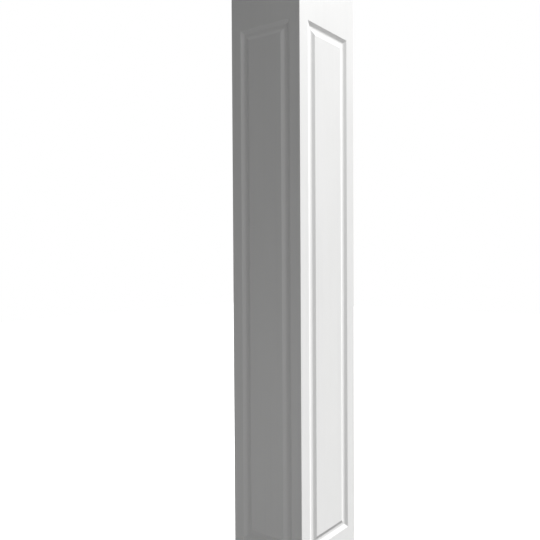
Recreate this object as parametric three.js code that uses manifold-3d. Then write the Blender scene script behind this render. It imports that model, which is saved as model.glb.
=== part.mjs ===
// A square column wrap: four cellular PVC boards, mitred and locked together along their long edges, that box
// in a structural post. Each board has one tall raised panel, set off by a routed groove all round it.
// Millimetres, +Z up. The origin is at the middle of the wrap's underside, and the front board faces -Y.

import * as THREE from "three";
import { mergeVertices } from "three/addons/utils/BufferGeometryUtils.js";
import Module from "manifold-3d";

// The box that the four boards make
const COLUMN_HEIGHT = 2438.4;
const COLUMN_WIDTH = 304.8;
const BOARD_THICKNESS = 19.05;
const ARRIS_RADIUS = 1.5;

// Where the panel sits on a board: the plain margins outside the groove
const STILE_WIDTH = 43;
const TOP_RAIL_HEIGHT = 305;
const BOTTOM_RAIL_HEIGHT = 365;

// The routed groove, from the plain margin down to its floor and up again to the raised field
const OUTER_SLOPE_RUN = 13.5;
const GROOVE_FLOOR_WIDTH = 10.5;
const INNER_SLOPE_RUN = 13;
const GROOVE_DEPTH = 6.35;

// The locking mitre: a tapered tongue stands on one mitre face and enters a slot in the next board's
const JOINT_GAP = 0.3;
const TONGUE_ROOT_WIDTH = 6;
const TONGUE_TIP_WIDTH = 5;
const TONGUE_HEIGHT = 4;

// How far the router's cutter stands out of the face while it cuts
const CUTTER_CLEARANCE = 1;

// How many flats stand for the arris on each board, and how close two vertices are when they are one
const ARRIS_FLATS = 2;
const WELD_DISTANCE = 1e-4;

const BOARD_NAMES = ["front_board", "right_board", "back_board", "left_board"];
const QUARTER_TURN = Math.PI / 2;

const manifold = await Module();
manifold.setup();

// Turns a closed geometry into a solid that can be cut.
function toSolid(geometry) {
  const bare = new THREE.BufferGeometry().setAttribute("position", geometry.getAttribute("position"));
  bare.setIndex(geometry.index);
  const merged = mergeVertices(bare, WELD_DISTANCE);
  return new manifold.Manifold(
    new manifold.Mesh({
      numProp: 3,
      vertProperties: merged.getAttribute("position").array,
      triVerts: new Uint32Array(merged.index.array),
    }),
  );
}

// Turns a cut solid back into a geometry with flat faces.
function toGeometry(solid) {
  const mesh = solid.getMesh();
  const geometry = new THREE.BufferGeometry();
  geometry.setAttribute("position", new THREE.BufferAttribute(mesh.vertProperties, 3));
  geometry.setIndex(new THREE.BufferAttribute(mesh.triVerts, 1));
  const flat = geometry.toNonIndexed();
  flat.computeVertexNormals();
  return flat;
}

// A point near a long edge of the front board, seen from above. side is 1 for its right edge and -1 for its
// left. along runs down the mitre from the column's corner, and across runs square to it, out of the board.
function mitrePoint(side, along, across) {
  const x = side * (COLUMN_WIDTH / 2 - along * Math.SQRT1_2 + across * Math.SQRT1_2);
  const y = -COLUMN_WIDTH / 2 + (along + across) * Math.SQRT1_2;
  return new THREE.Vector2(x, y);
}

// The rounded arris at one end, from the outer face to the mitre face: an eighth of a circle.
function arrisPoints(side) {
  const centreX = COLUMN_WIDTH / 2 - ARRIS_RADIUS;
  const centreY = -COLUMN_WIDTH / 2 + ARRIS_RADIUS;
  const setback = Math.asin(JOINT_GAP / 2 / ARRIS_RADIUS);
  const sweep = Math.PI / 4 - setback;
  const points = [];
  for (let step = 0; step <= ARRIS_FLATS; step++) {
    const angle = (sweep * step) / ARRIS_FLATS;
    const x = centreX + ARRIS_RADIUS * Math.sin(angle);
    points.push(new THREE.Vector2(side * x, centreY - ARRIS_RADIUS * Math.cos(angle)));
  }
  return points;
}

// The inner end of a mitre face, where it meets the board's inner face.
function mitreHeel(side) {
  const across = -JOINT_GAP / 2;
  return mitrePoint(side, BOARD_THICKNESS * Math.SQRT2 - across, across);
}

// The tongue's outline on the right end's mitre face, from its outer to its inner side.
function tonguePoints() {
  const middle = BOARD_THICKNESS * Math.SQRT1_2;
  const root = TONGUE_ROOT_WIDTH / 2;
  const tip = TONGUE_TIP_WIDTH / 2;
  return [
    mitrePoint(1, middle - root, -JOINT_GAP / 2),
    mitrePoint(1, middle - tip, TONGUE_HEIGHT),
    mitrePoint(1, middle + tip, TONGUE_HEIGHT),
    mitrePoint(1, middle + root, -JOINT_GAP / 2),
  ];
}

// The slot's outline in the left end's mitre face: the next board's tongue with the joint's gap all round.
function slotPoints() {
  const middle = BOARD_THICKNESS * Math.SQRT1_2;
  const mouth = TONGUE_ROOT_WIDTH / 2 + JOINT_GAP;
  const bottom = TONGUE_TIP_WIDTH / 2 + JOINT_GAP;
  const depth = TONGUE_HEIGHT + JOINT_GAP;
  return [
    mitrePoint(-1, middle - mouth, -JOINT_GAP / 2),
    mitrePoint(-1, middle - bottom, -depth),
    mitrePoint(-1, middle + bottom, -depth),
    mitrePoint(-1, middle + mouth, -JOINT_GAP / 2),
  ];
}

// The plain board before its panel is cut: its section, seen from above, drawn up to the column's height.
function boardBlank() {
  const rightEnd = [...arrisPoints(1), ...tonguePoints(), mitreHeel(1)];
  const leftEnd = [...arrisPoints(-1), ...slotPoints(), mitreHeel(-1)];
  const section = new THREE.Shape([...rightEnd, ...leftEnd.reverse()]);
  return new THREE.ExtrudeGeometry(section, { depth: COLUMN_HEIGHT, bevelEnabled: false });
}

// The cutter that routs the groove: its profile swept round the panel's outline, mitred at the four corners.
// A profile point is the distance in from the outline and the depth under the face.
function grooveCutter() {
  const floorStart = OUTER_SLOPE_RUN;
  const floorEnd = floorStart + GROOVE_FLOOR_WIDTH;
  const fieldEdge = floorEnd + INNER_SLOPE_RUN;
  const profile = [
    [0, -CUTTER_CLEARANCE],
    [0, 0],
    [floorStart, GROOVE_DEPTH],
    [floorEnd, GROOVE_DEPTH],
    [fieldEdge, 0],
    [fieldEdge, -CUTTER_CLEARANCE],
  ];
  const halfWidth = COLUMN_WIDTH / 2 - STILE_WIDTH;
  const bottom = BOTTOM_RAIL_HEIGHT;
  const top = COLUMN_HEIGHT - TOP_RAIL_HEIGHT;
  const corners = [
    (inset) => [-halfWidth + inset, bottom + inset],
    (inset) => [halfWidth - inset, bottom + inset],
    (inset) => [halfWidth - inset, top - inset],
    (inset) => [-halfWidth + inset, top - inset],
  ];
  const positions = [];
  for (const corner of corners) {
    for (const [inset, depth] of profile) {
      const [x, z] = corner(inset);
      positions.push(x, -COLUMN_WIDTH / 2 + depth, z);
    }
  }
  const faces = [];
  const count = profile.length;
  for (let side = 0; side < corners.length; side++) {
    const here = side * count;
    const next = ((side + 1) % corners.length) * count;
    for (let point = 0; point < count; point++) {
      const after = (point + 1) % count;
      faces.push(here + point, next + after, next + point);
      faces.push(here + point, here + after, next + after);
    }
  }
  const geometry = new THREE.BufferGeometry();
  geometry.setAttribute("position", new THREE.Float32BufferAttribute(positions, 3));
  geometry.setIndex(faces);
  return geometry;
}

// White cellular PVC with its factory skin
function boardMaterial() {
  return new THREE.MeshStandardMaterial({ color: 0xf1f1ef, roughness: 0.5, metalness: 0 });
}

// The wrap: one board, made once and turned a quarter for each side.
function columnWrap() {
  const board = toGeometry(toSolid(boardBlank()).subtract(toSolid(grooveCutter())));
  const wrap = new THREE.Group();
  BOARD_NAMES.forEach((name, side) => {
    const mesh = new THREE.Mesh(board, boardMaterial());
    mesh.name = name;
    mesh.rotation.z = side * QUARTER_TURN;
    wrap.add(mesh);
  });
  return wrap;
}

export default columnWrap();
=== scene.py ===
"""A square column wrap of four raised-panel boards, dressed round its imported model. Metres, +Z up."""

import math

import bpy
import numpy as np
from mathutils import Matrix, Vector


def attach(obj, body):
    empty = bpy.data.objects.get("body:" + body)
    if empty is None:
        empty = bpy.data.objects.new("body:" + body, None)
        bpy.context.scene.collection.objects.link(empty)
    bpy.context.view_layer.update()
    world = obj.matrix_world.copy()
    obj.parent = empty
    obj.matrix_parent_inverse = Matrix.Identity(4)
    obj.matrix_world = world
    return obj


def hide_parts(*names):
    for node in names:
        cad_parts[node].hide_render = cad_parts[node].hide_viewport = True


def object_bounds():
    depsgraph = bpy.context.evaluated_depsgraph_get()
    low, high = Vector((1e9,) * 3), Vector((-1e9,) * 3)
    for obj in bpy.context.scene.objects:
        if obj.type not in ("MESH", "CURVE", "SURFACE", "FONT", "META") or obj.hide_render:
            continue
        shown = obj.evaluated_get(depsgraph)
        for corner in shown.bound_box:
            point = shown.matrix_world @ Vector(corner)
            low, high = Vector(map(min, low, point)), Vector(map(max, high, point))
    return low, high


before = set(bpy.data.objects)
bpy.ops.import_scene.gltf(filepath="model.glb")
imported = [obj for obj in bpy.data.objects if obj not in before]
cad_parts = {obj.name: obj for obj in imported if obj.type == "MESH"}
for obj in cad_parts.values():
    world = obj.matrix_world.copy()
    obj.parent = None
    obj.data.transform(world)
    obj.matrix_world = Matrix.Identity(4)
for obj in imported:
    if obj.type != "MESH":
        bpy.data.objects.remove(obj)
cad_low, cad_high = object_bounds()


# The boards: four lengths of 3/4 inch cellular PVC sheet, mitred along both long edges. A tapered tongue on
# one mitre stands in a slot in the next board's, and glue holds the four together. A router has cut a shallow
# groove all round each board's face, which leaves the tall raised panel inside it.
MILLIMETRE = 0.001
MICROMETRE = 0.000001
COLUMN_WIDTH = cad_high.x - cad_low.x
COLUMN_HEIGHT = cad_high.z - cad_low.z
HALF_WIDTH = COLUMN_WIDTH / 2
BOARD_THICKNESS = 19.05 * MILLIMETRE
ARRIS_RADIUS = 1.5 * MILLIMETRE
ARRIS_POINTS = 8
GLUE_LINE = 0.12 * MILLIMETRE

# The groove, from the plain margin down to its floor and up to the raised field, and how far the easing of
# each of its four corners reaches.
STILE_WIDTH = 43 * MILLIMETRE
TOP_RAIL_HEIGHT = 305 * MILLIMETRE
BOTTOM_RAIL_HEIGHT = 365 * MILLIMETRE
OUTER_SLOPE_RUN = 13.5 * MILLIMETRE
GROOVE_FLOOR_WIDTH = 10.5 * MILLIMETRE
INNER_SLOPE_RUN = 13 * MILLIMETRE
GROOVE_DEPTH = 6.35 * MILLIMETRE
GROOVE_EASES = MILLIMETRE * np.array([1.1, 3.4, 3.4, 1.4])
GROOVE_EASE_POINTS = 9

# The locking mitre, and the stretch of plain face that gives an eased line its direction at either end.
TONGUE_ROOT_WIDTH = 6 * MILLIMETRE
TONGUE_TIP_WIDTH = 5 * MILLIMETRE
TONGUE_HEIGHT = 4 * MILLIMETRE
JOINT_EASE = 0.45 * MILLIMETRE
JOINT_EASE_POINTS = 5
PLAIN_STRETCH = 6 * MILLIMETRE

SKIN, MILLED, SAWN = range(3)


def eased(line, eases, count):
    """The line's inner corners, each eased into a short curve. A corner P, reached along u and left along v,
    becomes (1-t)^2 (P - e u) + 2t(1-t) P + t^2 (P + e v) for t from 0 to 1, where e is its ease."""
    strides = np.diff(line, axis=0)
    heading = strides / np.linalg.norm(strides, axis=1, keepdims=True)
    corner = line[1:-1, None]
    start = corner - (eases[:, None] * heading[:-1])[:, None]
    end = corner + (eases[:, None] * heading[1:])[:, None]
    t = np.linspace(0, 1, count)[None, :, None]
    curve = (1 - t) ** 2 * start + 2 * t * (1 - t) * corner + t**2 * end
    return curve.reshape(-1, line.shape[1])


def mitre_points(side, along, across):
    """Plan points by a long edge, where side is 1 for the right edge and -1 for the left. They are
    x = side (W/2 - a/sqrt2 + c/sqrt2) and y = -W/2 + (a + c)/sqrt2, where a runs down the mitre from the
    column's corner and c square to it, out of the board."""
    x = side * (HALF_WIDTH + (across - along) * math.sqrt(0.5))
    return np.column_stack([x, -HALF_WIDTH + (along + across) * math.sqrt(0.5)])


def board_edge(side):
    """Plan points of one long edge, from the outer face to the inner. The arris is an eighth of a circle, and
    after it come the mitre, with its tongue (right) or slot (left), and the heel, every corner eased."""
    setback = GLUE_LINE / 2
    angle = np.linspace(0, math.pi / 4 - math.asin(setback / ARRIS_RADIUS), ARRIS_POINTS)
    centre = HALF_WIDTH - ARRIS_RADIUS
    arris_x = side * (centre + ARRIS_RADIUS * np.sin(angle))
    arris = np.column_stack([arris_x, -centre - ARRIS_RADIUS * np.cos(angle)])

    play = 0 if side > 0 else GLUE_LINE
    root = TONGUE_ROOT_WIDTH / 2 + play
    tip = TONGUE_TIP_WIDTH / 2 + play
    reach = side * (TONGUE_HEIGHT + play)
    middle = BOARD_THICKNESS * math.sqrt(0.5)
    heel = BOARD_THICKNESS * math.sqrt(2) + setback
    along = np.array([middle - root, middle - tip, middle + tip, middle + root, heel])
    across = np.array([-setback, reach, reach, -setback, -setback])
    mitre = mitre_points(side, along, across)
    inner_face = mitre[-1:] - [[side * PLAIN_STRETCH, 0]]
    line = np.vstack([arris[-1:], mitre, inner_face])
    return np.vstack([arris, eased(line, np.full(len(mitre), JOINT_EASE), JOINT_EASE_POINTS)])


def panel_rings():
    """Four corners for each point of the groove's profile, which is an inset from the panel's outline and a
    depth under the face: x = -+(W/2 - stile - inset), y = -W/2 + depth, and z = the rails' edges, each moved
    in by the inset. Left bottom, right bottom, right top, left top. Gives them, the insets and the depths."""
    floor_end = OUTER_SLOPE_RUN + GROOVE_FLOOR_WIDTH
    field_edge = floor_end + INNER_SLOPE_RUN
    line = [
        [-PLAIN_STRETCH, 0],
        [0, 0],
        [OUTER_SLOPE_RUN, GROOVE_DEPTH],
        [floor_end, GROOVE_DEPTH],
        [field_edge, 0],
        [field_edge + PLAIN_STRETCH, 0],
    ]
    inset, depth = eased(np.array(line), GROOVE_EASES, GROOVE_EASE_POINTS).T
    half = HALF_WIDTH - STILE_WIDTH - inset
    bottom = BOTTOM_RAIL_HEIGHT + inset
    top = COLUMN_HEIGHT - TOP_RAIL_HEIGHT - inset
    x = np.stack([-half, half, half, -half], axis=1)
    y = np.repeat((depth - HALF_WIDTH)[:, None], 4, axis=1)
    z = np.stack([bottom, bottom, top, top], axis=1)
    return np.stack([x, y, z], axis=2), inset, depth


def edge_strips(outline):
    """The board's edges and inner face: an upright quad for each step of the outline, from the foot's points
    to the head's. The longest step is the inner face, which keeps its skin. Gives the quads, their finishes,
    and each corner's cutter run, which is its distance along the outline and its height."""
    count = len(outline)
    here = np.arange(count - 1)
    quads = np.column_stack([here, here + 1, here + 1 + count, here + count])
    steps = np.linalg.norm(np.diff(outline, axis=0), axis=1)
    girth = np.concatenate([[0], np.cumsum(steps)])
    across = girth[np.column_stack([here, here + 1, here + 1, here])]
    height = np.tile([0, 0, COLUMN_HEIGHT, COLUMN_HEIGHT], (count - 1, 1))
    run = np.stack([across, height, np.zeros_like(across)], axis=2)
    finish = np.where(steps == steps.max(), SKIN, MILLED)
    return quads, finish, run.reshape(-1, 3)


def face_bands(points, count, inset, depth):
    """The board's face: quads from each ring of four corners to the next, from the face's own edge through
    the groove to the field. Gives the rings, the quads, their finishes, and each corner's cutter run, which
    is its inset, its place along the side of the panel that it is on, and its depth."""
    own_edge = [[count - 1, 0, count, 2 * count - 1]]
    groove = 2 * count + np.arange(4 * len(inset)).reshape(-1, 4)
    rings = np.vstack([own_edge, groove])
    turned = np.roll(rings, -1, axis=1)
    quads = np.stack([rings[:-1], turned[:-1], turned[1:], rings[1:]], axis=2).reshape(-1, 4)
    level = np.repeat(np.arange(len(rings) - 1), 4)
    levels = np.column_stack([level, level, level + 1, level + 1])
    upright = np.tile([False, True], len(quads) // 2)[:, None]
    along = np.where(upright, points[quads][..., 2], points[quads][..., 0])
    ring_inset = np.concatenate([[0], inset])
    ring_depth = np.concatenate([[0], depth])
    run = np.stack([ring_inset[levels], along, ring_depth[levels]], axis=2)
    finish = np.where(level == 0, SKIN, MILLED)
    return rings, quads, finish, run.reshape(-1, 3)


def board_arrays():
    """The front board's mesh: its plan outline drawn up from z = 0 to z = H, its face's bands and field, and
    its two sawn ends. Gives points, faces, finishes, each corner's cutter run, and the groove's mitres."""
    outline = np.vstack([board_edge(1), board_edge(-1)[::-1]])
    count = len(outline)
    corners, inset, depth = panel_rings()
    foot = np.column_stack([outline, np.zeros(count)])
    head = np.column_stack([outline, np.full(count, COLUMN_HEIGHT)])
    points = np.vstack([foot, head, corners.reshape(-1, 3)])

    strips, strip_finish, strip_run = edge_strips(outline)
    rings, bands, band_finish, band_run = face_bands(points, count, inset, depth)
    field = rings[-1].tolist()
    foot_end = list(range(count))[::-1]
    head_end = list(range(count, 2 * count))
    faces = [*strips.tolist(), *bands.tolist(), field, foot_end, head_end]
    finish = np.concatenate([strip_finish, band_finish, [SKIN, SAWN, SAWN]])
    unrouted = np.zeros((len(field) + 2 * count, 3))
    run = np.vstack([strip_run, band_run, unrouted])
    mitres = np.stack([rings[:-1].ravel(), rings[1:].ravel()], axis=1)
    return points, faces, finish, run, mitres


class Wire:
    """One socket of a material. A sum, difference or product of wires adds its Math nodes to the tree."""

    def __init__(self, socket):
        self.socket = socket

    def node(self, kind, settings=None, inputs=None, output=0):
        """Adds any node: its settings are set first, then a value or a link for each of its inputs."""
        made = self.socket.id_data.nodes.new("ShaderNode" + kind)
        for name, value in (settings or {}).items():
            setattr(made, name, value)
        for name, value in (inputs or {}).items():
            if isinstance(value, Wire):
                self.socket.id_data.links.new(value.socket, made.inputs[name])
            else:
                made.inputs[name].default_value = value
        return Wire(made.outputs[output])

    def into(self, socket):
        """Links this wire to a shader's input."""
        self.socket.id_data.links.new(self.socket, socket)

    def maths(self, operation, *others):
        """A Math node's result for this wire and up to two more wires or numbers."""
        return self.node("Math", {"operation": operation}, dict(enumerate([self, *others])))

    def __add__(self, other):
        return self.maths("ADD", other)

    def __radd__(self, other):
        return self.maths("ADD", other)

    def __sub__(self, other):
        return self.maths("SUBTRACT", other)

    def __rsub__(self, other):
        return self.maths("MULTIPLY_ADD", -1.0, other)

    def __mul__(self, other):
        return self.maths("MULTIPLY", other)

    def __rmul__(self, other):
        return self.maths("MULTIPLY", other)

    def part(self, axis):
        """One part of this vector: X, Y or Z."""
        return self.node("SeparateXYZ", None, {0: self}, axis)

    def cells_per_metre(self, x, y, z):
        """This vector in metres, counted in cells: so many to the metre along each of its three parts."""
        return self.node("VectorMath", {"operation": "MULTIPLY"}, {0: self, 1: (x, y, z)})

    def noise(self, detail):
        """Soft random values round 0.5, one swell to each cell and finer ones for more detail."""
        return self.node("TexNoise", None, {"Vector": self, "Scale": 1.0, "Detail": detail})

    def scattered(self, output="Distance"):
        """The distance in cells to the nearest of points scattered one to a cell, or that point's colour."""
        return self.node("TexVoronoi", None, {"Vector": self, "Scale": 1.0}, output)

    def between(self, low, high):
        """0 below low, 1 above high, and a smooth step from one to the other."""
        inputs = {"Value": self, "From Min": low, "From Max": high}
        return self.node("MapRange", {"interpolation_type": "SMOOTHSTEP"}, inputs)

    def blend(self, first, other):
        """The first colour where this wire is 0 and the other where it is 1."""
        return self.node("Mix", {"data_type": "RGBA"}, {0: self, 6: first, 7: other}, 2)

    def relief(self):
        """The shading normal of a surface that stands out by this wire's value in metres."""
        return self.node("Bump", None, {"Distance": 1.0, "Height": self})


REFRACTIVE_INDEX = 1.5


def new_finish(name):
    """A new material: its shader's inputs, a wire that starts its nodes, and the material itself."""
    material = bpy.data.materials.new(name)
    material.use_nodes = True
    shader = material.node_tree.nodes["Principled BSDF"]
    shader.inputs["IOR"].default_value = REFRACTIVE_INDEX
    return shader.inputs, Wire(shader.outputs[0]), material


def colour(red, green, blue):
    """An opaque colour: the three shares of light, and 1 for full cover."""
    return (red, green, blue, 1.0)


def factory_skin():
    """The extruded skin: satin white, with fine lines drawn lengthwise by the die, a faint orange peel, slow
    changes of tone and shine, runs where rain has washed it, a few specks, and arrises sanded a little dull.
    Tone, roughness and height are each a sum of the patterns, every one with its own share."""
    inputs, start, material = new_finish("pvc factory skin")
    dull_white = colour(0.855, 0.855, 0.847)
    clean_white = colour(0.912, 0.912, 0.906)
    speck_grey = colour(0.52, 0.5, 0.46)
    sanded_white = colour(0.86, 0.858, 0.848)
    sanded_band = (HALF_WIDTH - 3.5 * MILLIMETRE, HALF_WIDTH - 0.8 * MILLIMETRE)
    speck_rim = (0.05, 0.13)
    specked_cells = (0.86, 0.9)
    washed_runs = (0.5, 0.78)

    place = start.node("TexCoord", output="Object")
    die_lines = place.cells_per_metre(330, 330, 1.3).noise(detail=3.0)
    orange_peel = place.cells_per_metre(420, 420, 300).noise(detail=1.0)
    clouds = place.cells_per_metre(9, 9, 3.5).noise(detail=3.0)
    washed = place.cells_per_metre(46, 46, 0.9).noise(detail=4.0).between(*washed_runs)
    speck_cells = place.cells_per_metre(140, 140, 140)
    has_speck = speck_cells.scattered("Color").between(*specked_cells)
    speck = (1 - speck_cells.scattered().between(*speck_rim)) * has_speck
    x, y = (place.part(axis).maths("ABSOLUTE") for axis in "XY")
    arris = x.maths("MINIMUM", y).between(*sanded_band)

    tone = (clouds - 0.5) * 0.9 + (die_lines - 0.5) * 0.5 - washed * 0.25 + 0.55
    specked = (speck * 0.45).blend(tone.blend(dull_white, clean_white), speck_grey)
    (arris * 0.5).blend(specked, sanded_white).into(inputs["Base Color"])
    roughness = 0.4 + clouds * 0.12 + die_lines * 0.08 + washed * 0.06 + arris * 0.09 + speck * 0.2
    roughness.into(inputs["Roughness"])
    fine_height = die_lines * (20 * MICROMETRE) + orange_peel * (30 * MICROMETRE)
    (fine_height + clouds * (800 * MICROMETRE)).relief().into(inputs["Normal"])
    return material


def milled_pvc():
    """The routed groove, the arrises and the mitres: more matte than the skin, with the cutter's fine lines
    along its run, its chatter across it, the pricks of cut foam cells, and a little patchy painted shade
    where the groove is deep. Tone, roughness and height are sums of the patterns' shares, and the painted
    shade is depth times clouds."""
    inputs, start, material = new_finish("pvc milled face")
    shaded_white = colour(0.868, 0.868, 0.862)
    fresh_white = colour(0.92, 0.92, 0.914)
    groove_shade_white = colour(0.775, 0.765, 0.74)
    shaded_depths = (0.35, 1.0)
    shade_patch_clouds = (0.3, 0.75)
    prick_rim = (0.1, 0.34)

    place = start.node("TexCoord", output="Object")
    run = start.node("Attribute", {"attribute_name": "cutter_run"}, output="Vector")
    depth_share = run.part("Z") * (1 / GROOVE_DEPTH)
    cutter_lines = run.cells_per_metre(2300, 11, 0).noise(detail=2.0)
    chatter = run.cells_per_metre(40, 620, 0).noise(detail=1.0)
    clouds = place.cells_per_metre(14, 14, 8).noise(detail=3.0)
    pricks = 1 - place.cells_per_metre(1700, 1700, 1700).scattered().between(*prick_rim)

    tone = (clouds - 0.5) * 0.8 + (cutter_lines - 0.5) * 0.5 + 0.5
    # Painted shade: the deepest part of the groove is darkened towards a grey white, in patches set by the
    # clouds.
    groove_painted_shade = depth_share.between(*shaded_depths) * clouds.between(*shade_patch_clouds) * 0.12
    groove_painted_shade.blend(tone.blend(shaded_white, fresh_white), groove_shade_white).into(inputs["Base Color"])
    (0.56 + cutter_lines * 0.08 + clouds * 0.08 + pricks * 0.1).into(inputs["Roughness"])
    ridges = cutter_lines * (30 * MICROMETRE) + chatter * (20 * MICROMETRE)
    (ridges - pricks * (12 * MICROMETRE)).relief().into(inputs["Normal"])
    return material


def sawn_foam():
    """The sawn ends: matte and full of fine open cells between the dense skins of both faces, with the saw's
    shallow arcs across them, which are sine waves of the distance from the saw's far centre. Their white is
    set darker than the board's own as painted shade, which keeps the lit top end from washing out, and the
    open cells are mixed towards grey as painted shade in the pores."""
    inputs, start, material = new_finish("pvc sawn end")
    # Painted shade: this end white is darker than the board's own white, to hold back the strong light on the
    # top end.
    end_white_with_painted_shade = colour(0.74, 0.738, 0.725)
    tone_and_pore_shade_grey = colour(0.5, 0.495, 0.475)
    saw_centre = (0.4, 0.55, 0.0)
    tooth_pitch = 2.6 * MILLIMETRE
    skin_to_foam = (0.5 * MILLIMETRE, 1.3 * MILLIMETRE)
    cell_rim = (0.15, 0.5)

    place = start.node("TexCoord", output="Object")
    x, y = (place.part(axis).maths("ABSOLUTE") for axis in "XY")
    outward = x.maths("MAXIMUM", y)
    under_face = (HALF_WIDTH - outward).maths("MINIMUM", outward - (HALF_WIDTH - BOARD_THICKNESS))
    foam = under_face.between(*skin_to_foam)
    cells = 1 - place.cells_per_metre(1500, 1500, 1500).scattered().between(*cell_rim)
    open_cells = cells * foam
    from_saw = place.node("VectorMath", {"operation": "DISTANCE"}, {0: place, 1: saw_centre}, "Value")
    arcs = (from_saw * (2 * math.pi / tooth_pitch)).maths("SINE")
    clouds = place.cells_per_metre(60, 60, 60).noise(detail=3.0)

    # Painted shade: the open cells are mixed towards grey as shade in the pores. The clouds' share of the
    # grey is random tone.
    (clouds * 0.7 + open_cells * 0.5).blend(end_white_with_painted_shade, tone_and_pore_shade_grey).into(inputs["Base Color"])
    (0.62 + open_cells * 0.16 + clouds * 0.08).into(inputs["Roughness"])
    ridges = arcs * (12 * MICROMETRE) + clouds * (20 * MICROMETRE)
    (ridges - open_cells * (70 * MICROMETRE)).relief().into(inputs["Normal"])
    return material


def crease_mitres(mesh, mitres):
    """Marks the groove's mitre edges sharp. An edge is known by its lower point's number plus its higher
    one's times the count of points, a sum that no other edge shares."""
    ends = np.empty(2 * len(mesh.edges), np.int32)
    mesh.edges.foreach_get("vertices", ends)
    place_values = [1, len(mesh.vertices)]
    edge_keys = np.sort(ends.reshape(-1, 2), axis=1) @ place_values
    mitre_keys = np.sort(mitres, axis=1) @ place_values
    sharp = mesh.attributes["sharp_edge"].data
    creased = np.empty(len(mesh.edges), bool)
    sharp.foreach_get("value", creased)
    sharp.foreach_set("value", creased | np.isin(edge_keys, mitre_keys))


CREASE_ANGLE = math.radians(30)
QUARTER_TURN = np.array([[0, 1, 0], [-1, 0, 0], [0, 0, 1]])

points, faces, finish, run, mitres = board_arrays()
finishes = [factory_skin(), milled_pvc(), sawn_foam()]

for turns, side in enumerate(["front", "right", "back", "left"]):
    mesh = bpy.data.meshes.new(side + "_panel_board")
    turned_points = points @ np.linalg.matrix_power(QUARTER_TURN, turns)
    mesh.from_pydata(turned_points.tolist(), [], faces)
    for board_finish in finishes:
        mesh.materials.append(board_finish)
    mesh.polygons.foreach_set("material_index", finish)
    cutter_run = mesh.attributes.new("cutter_run", "FLOAT_VECTOR", "CORNER")
    cutter_run.data.foreach_set("vector", run.ravel())
    mesh.shade_smooth()
    mesh.set_sharp_from_angle(angle=CREASE_ANGLE)
    crease_mitres(mesh, mitres)
    mesh.update()

    board = bpy.data.objects.new(side + "_panel_board", mesh)
    bpy.context.scene.collection.objects.link(board)
    even_shading = board.modifiers.new("Even shading", "WEIGHTED_NORMAL")
    even_shading.keep_sharp = True
    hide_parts(side + "_board")
    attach(board, "root")


# The studio: a camera where the photograph was taken from, a key light high beside the lit side, a large soft
# box above that side, a weak one low before the shaded side, and one behind for the two sides that the
# photograph doesn't show. Only the camera sees the surround as white, and the floor is pale.
CAMERA_PLACE = (1.3914, -1.6446, 1.3483)
CAMERA_YAW = math.radians(-31.066)
CAMERA_PITCH = math.radians(-1.14)
CAMERA_ROLL = math.radians(0.088)
FOCAL_LENGTH = 39.28
SENSOR_WIDTH = 36.0
CAMERA_SHIFT = -0.2222

lens = bpy.data.cameras.new("camera")
lens.lens = FOCAL_LENGTH
lens.sensor_width = SENSOR_WIDTH
lens.shift_x = CAMERA_SHIFT
camera = bpy.data.objects.new("camera", lens)
camera.location = CAMERA_PLACE
camera.rotation_euler = (math.pi / 2 + CAMERA_PITCH, CAMERA_ROLL, -CAMERA_YAW)
bpy.context.scene.collection.objects.link(camera)
bpy.context.scene.camera = camera

KEY_ELEVATION = math.radians(47)
KEY_AZIMUTH = math.radians(57)
KEY_STRENGTH = 4.34
KEY_SPREAD = math.radians(12)

key = bpy.data.lights.new("key", "SUN")
key.energy = KEY_STRENGTH
key.angle = KEY_SPREAD
key_lamp = bpy.data.objects.new("key", key)
key_lamp.rotation_euler = (0, math.pi / 2 - KEY_ELEVATION, KEY_AZIMUTH)
bpy.context.scene.collection.objects.link(key_lamp)

# Each soft box has its place, the side of its square in metres, and its watts.
SOFT_BOXES = {
    "side soft box": (Vector((3.0, 0.0, 4.2)), 2.5, 58.5),
    "front soft box": (Vector((1.4, -2.8, 0.3)), 1.6, 12.5),
    "far soft box": (Vector((-3.4, 0.8, 2.4)), 1.6, 40.0),
}
COLUMN_MIDDLE = Vector((0, 0, COLUMN_HEIGHT / 2))

for name, (place, size, watts) in SOFT_BOXES.items():
    lamp = bpy.data.lights.new(name, "AREA")
    lamp.shape = "SQUARE"
    lamp.size = size
    lamp.energy = watts
    soft_box = bpy.data.objects.new(name, lamp)
    soft_box.location = place
    soft_box.rotation_euler = (COLUMN_MIDDLE - place).to_track_quat("-Z", "Y").to_euler()
    bpy.context.scene.collection.objects.link(soft_box)

SURROUND_LIGHT = colour(0.145, 0.145, 0.145)
WHITE = colour(1, 1, 1)

world = bpy.data.worlds.new("white surround")
world.use_nodes = True
bpy.context.scene.world = world
surround = world.node_tree.nodes["Background"]
seen_by_camera = Wire(surround.outputs[0]).node("LightPath", output="Is Camera Ray")
seen_by_camera.blend(SURROUND_LIGHT, WHITE).into(surround.inputs["Color"])
bpy.context.scene.view_settings.view_transform = "Standard"

FLOOR_REACH = 12.0
FLOOR_PALE = colour(0.85, 0.85, 0.85)
FLOOR_ROUGHNESS = 0.9
FLOOR_GLOW = 0.3

floor_mesh = bpy.data.meshes.new("floor")
floor_corners = FLOOR_REACH * np.array([[-1, -1, 0], [1, -1, 0], [1, 1, 0], [-1, 1, 0]])
floor_mesh.from_pydata(floor_corners.tolist(), [], [(0, 1, 2, 3)])
floor_inputs, _, floor_paint = new_finish("pale floor")
floor_inputs["Base Color"].default_value = FLOOR_PALE
floor_inputs["Roughness"].default_value = FLOOR_ROUGHNESS
floor_inputs["Emission Color"].default_value = WHITE
floor_inputs["Emission Strength"].default_value = FLOOR_GLOW
floor_mesh.materials.append(floor_paint)
floor = bpy.data.objects.new("floor", floor_mesh)
floor.visible_diffuse = False
bpy.context.scene.collection.objects.link(floor)
